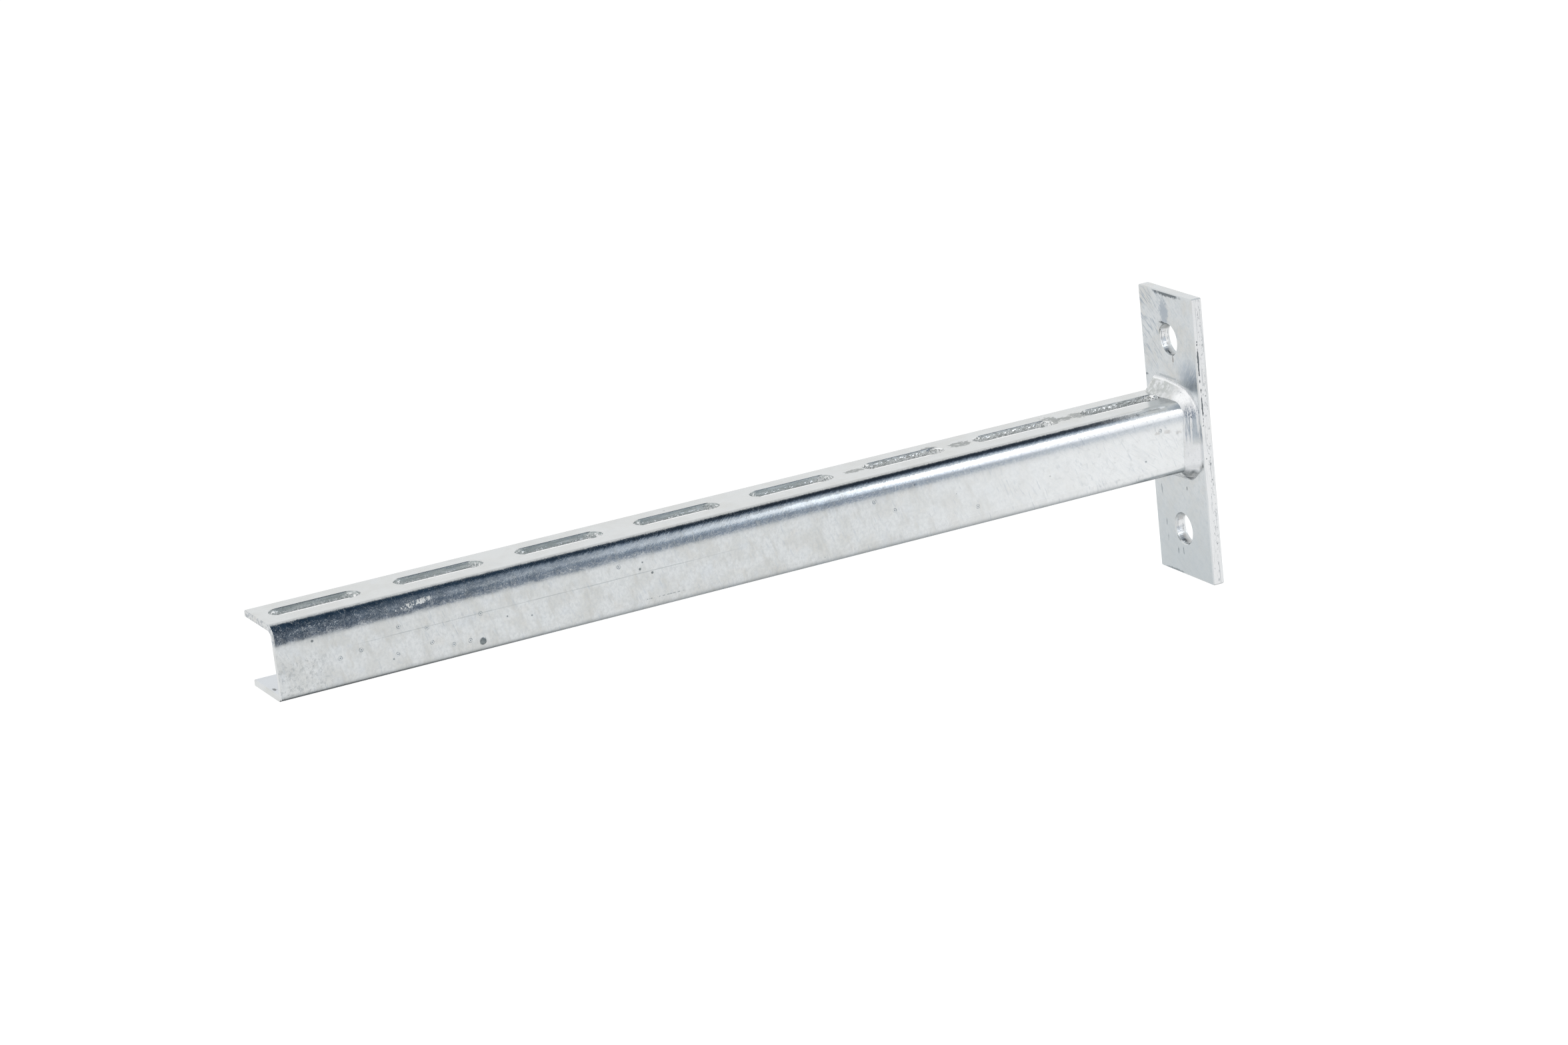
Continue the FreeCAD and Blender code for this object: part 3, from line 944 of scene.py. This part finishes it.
    def moved(self, place: Vector) -> Vector:
        """Moves a place of the plain fillet to where the real bead has it.

        Args:
            place: The place in millimetres.

        Returns:
            Its new place.
        """
        station, root, outward = self.station(place)
        along = self.root_x - place.x
        out = (place - root).dot(outward)
        wander = self.wander_mm * noise.noise(root / 1.7)
        if out > 0:
            out *= (self.leg_at(station, self.plate_legs_mm) + wander) / self.leg_mm
        if along > 0:
            along *= (self.leg_at(station, self.arm_legs_mm) + wander) / self.leg_mm
        if out > 0 and along > 0:
            across = math.atan2(along, out) / (math.pi / 2)
            lift = self.relief(place, station, across) / math.sqrt(2)
            along, out = along + lift, out + lift
        flange = self.start_y - self.fold_y
        from_end = max(0.0, min(station, 5 - station) * flange)
        shrink = 1.0
        if from_end < self.end_round_mm:
            rounded = math.sqrt(1 - (1 - from_end / self.end_round_mm) ** 2)
            shrink = self.end_share + (1 - self.end_share) * rounded
        return root + Vector((-along, 0, 0)) * shrink + outward * out * shrink

    def add_drop(self, shape: bmesh.types.BMesh) -> None:
        """Adds the uneven drop of zinc that hangs in the end of the last slot.

        Args:
            shape: The bead's shape, which gets it.
        """
        drop = bmesh.ops.create_icosphere(shape, subdivisions=4, radius=1.0)["verts"]
        for vert in drop:
            for face in vert.link_faces:
                face.smooth = True
            vert.co *= 1 + self.drop_uneven * noise.noise(vert.co * 1.3)
            vert.co = vert.co * Vector(self.drop_radii_mm) + Vector(self.drop_place_mm)

    def coat(self) -> bpy.types.Material:
        """Makes the bead's zinc: dull on the flange, ridged down the web, with a ripple, a crater and painted
        light.

        The real streaks and grit are under 0.2 mm wide, and are drawn coarser so that they show.

        Returns:
            The material.
        """
        layers = COATS[self.finish].lay()
        add, x, z = layers.add, layers.x, layers.z
        on_flange = add("MapRange", z, 15.8, 17.2, **SMOOTH)
        dull = layers.blotches((2.2, 2.2, 2.2), 0.36, 0.58, detail=4.0, rough=0.65, shift=6.4)
        leftward = add("MapRange", layers.y, -11.0, 4.0, 0.15, 1.0, **SMOOTH)
        on_bead = add("MapRange", x, -11.2, -10.6, **SMOOTH)
        layers.paint("#A6ACA8", 0.6, dull, on_flange, leftward, on_bead)
        # Painted highlight: the drop of zinc in the last slot is painted near-white.
        layers.paint("#FAFBFB", 1.0, add("Math", 1.0, on_bead, operation="SUBTRACT"))
        # Painted highlights: a near-white line along the lip on the plate's side and a patch on the upper
        # shoulder.
        lip_highlight = layers.overlap(add("MapRange", x, -6.3, -5.8, **SMOOTH),
                             add("MapRange", z, 11.0, 15.0, **SMOOTH))
        shoulder_highlight = layers.spot((-7.5, -12.0, 19.0), (4, 4.5, 2.6), tooth_mm=1.5, soft=0.6)
        layers.paint("#FCFDFE", 0.9, add("Math", lip_highlight, shoulder_highlight, operation="MAXIMUM"))
        layers.roughen(0.45, add("MapRange", x, -5.9, -5.4, **SMOOTH))

        beside = layers.overlap(add("MapRange", layers.y, -13.4, -15.0, **SMOOTH),
                                layers.within(z, 5.0, 11.0, 6.0))
        # Painted reflection of the dark room: bluish stripes and streaks down the web side, where the bead is
        # ridged.
        ridge_shading = layers.blotches((1.3, 1.2, 26.0), 0.40, 0.60, detail=1.0, shift=3.9)
        layers.paint("#93A0AC", 0.65, ridge_shading, beside)
        streaks = layers.blotches((0.40, 0.40, 4.0), 0.50, 0.66, rough=0.6, shift=8.6)
        layers.paint("#7F8DA0", 0.45, streaks, beside)
        # Painted reflection of the dark room: dark grains on the ripple below the upper fold.
        ripple_dark_reflection = layers.spot((-7.4, -16.8, 13.3), (3.0, 3.0, 2.4), tooth_mm=1.2, soft=0.5)
        grit = layers.blotches((0.36, 0.36, 1.1), 0.46, 0.60, rough=0.7, shift=1.1)
        layers.paint("#5A677E", 0.8, ripple_dark_reflection, grit)

        crater = layers.spot((-7.3, -12.6, -12.9), (3.0, 3.2, 1.9), ragged=0.35, tooth_mm=1.5, soft=0.5)
        layers.paint("#9C9D9C", 0.85, crater, add("MapRange", dull, 0.0, 1.0, 0.4, 1.0))
        # Painted shadow: a dark streak below the crater.
        shadow_below_crater = layers.spot((-7.0, -9.6, -15.6), (2.6, 3.0, 0.5), ragged=0.4, soft=0.5)
        layers.paint("#75757A", 0.8, shadow_below_crater)
        dust = layers.blotches((0.7, 0.7, 0.7), 0.55, 0.72, detail=3.0, rough=0.7, shift=7.7)
        layers.paint("#A5ABAF", 0.35, dust)
        layers.raise_by(0.05, layers.grains((1.2, 1.2, 1.2), shift=9.1))
        return layers.finish()


@dataclass
class PhotoCamera:
    """The photograph's camera, fitted to the corners and slots of the bracket. Angles are in degrees."""

    aim_mm: Point = (-172.0, -4.5, 12.25)
    distance_mm: float = 1729.44
    azimuth: float = -26.02
    elevation: float = 16.17
    roll: float = -6.16
    lens_mm: float = 102.187
    sensor_mm: float = 36.0
    shift: Pair = (-0.02028, -0.01573)

    def build(self) -> bpy.types.Object:
        """Makes the camera and hands the scene to it.

        Returns:
            The camera.
        """
        azimuth, elevation, roll = map(math.radians, (self.azimuth, self.elevation, self.roll))
        back = Vector((math.sin(azimuth) * math.cos(elevation), -math.cos(azimuth) * math.cos(elevation),
                       math.sin(elevation)))
        level = Vector((math.cos(azimuth), math.sin(azimuth), 0.0))
        upright = back.cross(level)
        right = level * math.cos(roll) + upright * math.sin(roll)
        up = upright * math.cos(roll) - level * math.sin(roll)
        turn = Matrix((right, up, back)).transposed().to_4x4()
        place = (Vector(self.aim_mm) + back * self.distance_mm) * MM
        data = bpy.data.cameras.new("photo_camera")
        data.sensor_width = self.sensor_mm
        data.lens = self.lens_mm
        data.shift_x, data.shift_y = self.shift
        data.dof.use_dof = False
        camera = bpy.data.objects.new("photo_camera", data)
        bpy.context.scene.collection.objects.link(camera)
        camera.matrix_world = Matrix.Translation(place) @ turn
        bpy.context.scene.camera = camera
        return camera


@dataclass(frozen=True)
class Tone:
    """A tone laid over a cloth: none of it at its first angle or place, all of it at the second and beyond.

    Angles are in degrees round the X axis and places in metres along it. A tone that comes without one of
    them covers the whole cloth that way. A receding tone dies away again towards the room's brink.
    """

    colour: str
    angles: Pair = (0.0, 1.0)
    places: Pair = (-2.0, -1.0)
    share: float = 1.0
    recedes: bool = False


@dataclass
class Studio:
    """A plain white table and backdrop, a softbox at the right and an unlit room above and in front.

    Lengths are in metres. Angles are in degrees about the X axis, from +Y over +Z, and the arch and the
    strip are curved about that axis, so that each shows in a fold as a band of even width. The softbox
    lights the table alone. The zinc mirrors a window on the arch instead, which is cut short at its end
    by the softbox, so that the upper flange doesn't glare from behind.
    """

    floor_drop: float = 0.36
    floor_size: float = 14.0
    floor_colour: str = "#DADADA"
    seen_glow: float = 0.36
    mirrored_glow: float = 0.26
    arch_radius: float = 1.3
    arch_angles: Pair = (28.0, 188.0)
    arch_ends: Pair = (-0.3, 0.95)
    room_colour: str = "#304458"
    room_tones: tuple[Tone, ...] = (
        Tone("#2A3440", places=(0.10, 0.40)),  # the deepest dark, over most of the room
        Tone("#8796A8", angles=(78.0, 104.0), places=(0.02, 0.25)),  # a bluish haze in front
        Tone("#CCD3DD", angles=(150.0, 170.0), places=(0.38, 0.72)),  # paler, low in front
        Tone("#DCE3EC", angles=(96.0, 112.0), places=(0.08, 0.39), recedes=True),  # a glow round the window
        Tone("#FAFBFD", angles=(116.0, 130.0), places=(0.44, 0.58), recedes=True),  # the window's glare
        Tone("#F2F5F7", places=(0.675, 0.69)),  # a pale wall at the softbox's end
        Tone("#FFFFFF", angles=(58.0, 28.0)))  # the white backdrop behind the bracket
    room_brinks: Pair = (168.0, 182.0)          # where receding tones end, at the first place and the second
    brink_places: Pair = (0.42, 0.56)
    brink_fade: float = 20.0
    window_glow: float = 1.5
    window_low: Pair = (117.0, 127.0)
    window_tops: Pair = (179.0, 154.0)          # where the window ends, at the first place and the second
    window_top_places: Pair = (0.49, 0.58)
    window_fade: float = 10.0
    window_sides: tuple[Pair, Pair] = ((0.34, 0.42), (0.80, 0.74))
    strip_radius: float = 0.34
    strip_angles: Pair = (204.0, 318.0)
    strip_ends: Pair = (-0.5, 0.5)
    strip_colour: str = "#FFFFFF"
    strip_tones: tuple[Tone, ...] = (
        Tone("#8C9296", angles=(226.0, 330.0)),
        Tone("#1C2328", angles=(266.0, 304.0), places=(-0.10, -0.26), share=0.8))
    cloth_facets: int = 24
    lamp_place: Point = (0.64, -0.90, 0.56)
    lamp_aim: Point = (-0.15, 0.0, 0.0)
    lamp_size: Pair = (0.74, 1.08)
    lamp_radiance: float = 1.22                 # of its face, where 1 is white

    def build(self) -> None:
        """Makes the world, the table, the cloths and the lamp."""
        bpy.context.scene.view_settings.view_transform = "Standard"
        self.backdrop()
        self.table()
        self.curved_cloth("dark_arch", self.arch_radius, self.arch_angles, self.arch_ends,
                          self.room_material())
        self.curved_cloth("dark_strip", self.strip_radius, self.strip_angles, self.strip_ends,
                          self.strip_material())
        self.softbox()

    def backdrop(self) -> None:
        """Makes the world: even white light from every side."""
        world = bpy.data.worlds.new("white_backdrop")
        world.use_nodes = True
        world.node_tree.nodes.clear()
        add = partial(add_node, world.node_tree)
        add("OutputWorld", add("Background", (1, 1, 1, 1), 1.0))
        bpy.context.scene.world = world

    def stage_piece(self, name: str, shape: bmesh.types.BMesh,
                    material: bpy.types.Material) -> bpy.types.Object:
        """Makes a stage piece of a finished shape.

        Args:
            name: The piece's name.
            shape: Its shape in metres.
            material: Its material.

        Returns:
            The piece.
        """
        piece = new_piece(name, shape, material)
        return piece

    def table(self) -> None:
        """Makes the table of matt white laminate, which looks white and keeps the bracket's shadow."""
        material = new_material("white_laminate_table")
        add = partial(add_node, material.node_tree)
        path = add("LightPath").outputs
        mirrored = add("Math", path["Is Glossy Ray"], path["Is Transmission Ray"], operation="MAXIMUM")
        seen = add("Math", path["Is Camera Ray"], self.seen_glow, operation="MULTIPLY")
        strength = add("Math", mirrored, self.mirrored_glow, seen, operation="MULTIPLY_ADD")
        top = add("BsdfDiffuse", hex_to_linear(self.floor_colour))
        glow = add("Emission", (1, 1, 1, 1), strength)
        add("OutputMaterial", add("AddShader", top, glow))
        shape = bmesh.new()
        bmesh.ops.create_grid(shape, x_segments=1, y_segments=1, size=self.floor_size / 2)
        bmesh.ops.translate(shape, verts=shape.verts, vec=(0, 0, -self.floor_drop))
        self.stage_piece("table", shape, material)

    @staticmethod
    def place_round(add: Callable[..., bpy.types.Node]) -> tuple[Value, Value]:
        """Reads where a place of a cloth lies.

        Args:
            add: Adds a node to the cloth's material.

        Returns:
            Its place along the X axis, and its angle round it from 0 to 360.
        """
        x, y, z = add("SeparateXYZ", add("TexCoord").outputs["Object"]).outputs
        angle = add("Math", add("Math", z, y, operation="ARCTAN2"), operation="DEGREES")
        return x, add("Math", angle, 360.0, sockets={WRAP_START: 0.0}, operation="WRAP")

    def toned(self, add: Callable[..., bpy.types.Node], x: Value, angle: Value, base: str,
              tones: tuple[Tone, ...]) -> Value:
        """Lays tones over a cloth's own colour.

        Args:
            add: Adds a node to the cloth's material.
            x: The place along the X axis.
            angle: The angle round it.
            base: The cloth's own colour.
            tones: The tones, from the lowest.

        Returns:
            The colour.
        """
        colour: Value = hex_to_linear(base)
        brink = add("MapRange", x, *self.brink_places, *self.room_brinks, **SMOOTH)
        faded = add("Math", brink, self.brink_fade, operation="SUBTRACT")
        for tone in tones:
            lit = add("Math", add("MapRange", angle, *tone.angles, **SMOOTH),
                      add("MapRange", x, *tone.places, 0.0, tone.share, **SMOOTH), operation="MULTIPLY")
            if tone.recedes:
                lit = add("Math", lit, add("MapRange", angle, brink, faded, **SMOOTH), operation="MULTIPLY")
            colour = add("Mix", lit, sockets={MIX_UNDER: colour, MIX_OVER: hex_to_linear(tone.colour)},
                         data_type="RGBA")
        return colour

    def room_material(self) -> bpy.types.Material:
        """Makes the unlit room, which lightens towards the softbox's side and has a bright window.

        Returns:
            The material.
        """
        material = new_material("unlit_room")
        add = partial(add_node, material.node_tree)
        x, angle = self.place_round(add)
        colour = self.toned(add, x, angle, self.room_colour, self.room_tones)
        top = add("MapRange", x, *self.window_top_places, *self.window_tops, **SMOOTH)
        faded = add("Math", top, self.window_fade, operation="SUBTRACT")
        window = add("Math", add("MapRange", angle, *self.window_low, **SMOOTH),
                     add("MapRange", angle, top, faded, **SMOOTH), operation="MULTIPLY")
        for side in self.window_sides:
            window = add("Math", window, add("MapRange", x, *side, **SMOOTH), operation="MULTIPLY")
        strength = add("Math", window, self.window_glow, 1.0, operation="MULTIPLY_ADD")
        add("OutputMaterial", add("Emission", colour, strength))
        return material

    def strip_material(self) -> bpy.types.Material:
        """Makes the shade under the arm, which deepens round the strip and towards the arm's free end.

        Returns:
            The material.
        """
        material = new_material("shade_under_the_arm")
        add = partial(add_node, material.node_tree)
        x, angle = self.place_round(add)
        shade = self.toned(add, x, angle, self.strip_colour, self.strip_tones)
        add("OutputMaterial", add("Emission", shade, 1.0))
        return material

    def curved_cloth(self, name: str, radius: float, angles: Pair, ends: Pair,
                     material: bpy.types.Material) -> None:
        """Makes a cloth curved about the X axis, which only mirrors show.

        Args:
            name: The cloth's name.
            radius: Its distance from the axis.
            angles: Where it begins and ends round the axis.
            ends: Where it begins and ends along the axis.
            material: Its material.
        """
        shape = bmesh.new()
        low = math.radians(angles[0])
        corners = [shape.verts.new((x, radius * math.cos(low), radius * math.sin(low))) for x in ends]
        edge = shape.edges.new(corners)
        bmesh.ops.spin(shape, geom=[*corners, edge], cent=(0, 0, 0), axis=(1, 0, 0),
                       angle=math.radians(angles[1]) - low, steps=self.cloth_facets)
        cloth = self.stage_piece(name, shape, material)
        cloth.visible_camera = False
        cloth.visible_diffuse = False
        cloth.visible_shadow = False
        cloth.visible_transmission = False

    def softbox(self) -> None:
        """Makes a rectangular lamp that faces the bracket."""
        data = bpy.data.lights.new("right_softbox", "AREA")
        data.shape = "RECTANGLE"
        data.size, data.size_y = self.lamp_size
        data.energy = self.lamp_radiance * data.size * data.size_y * math.pi
        lamp = bpy.data.objects.new("right_softbox", data)
        bpy.context.scene.collection.objects.link(lamp)
        place = Vector(self.lamp_place)
        turn = (Vector(self.lamp_aim) - place).to_track_quat("-Z", "Y")
        lamp.matrix_world = Matrix.Translation(place) @ turn.to_matrix().to_4x4()
        lamp.visible_camera = False
        lamp.visible_glossy = False


def main() -> None:
    """Builds the bracket's looks, the studio and the camera, in that order."""
    logging.basicConfig(level=logging.INFO, format="%(message)s")
    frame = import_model()
    nodes = frame["nodes"]
    for part in (ArmChannel(), BackPlate(), FilletWeld()):
        piece = part.dress(nodes)
        LOG.info("%s: %d faces", piece.name, len(piece.data.polygons))
    Studio().build()
    PhotoCamera().build()


if __name__ == "__main__":
    main()
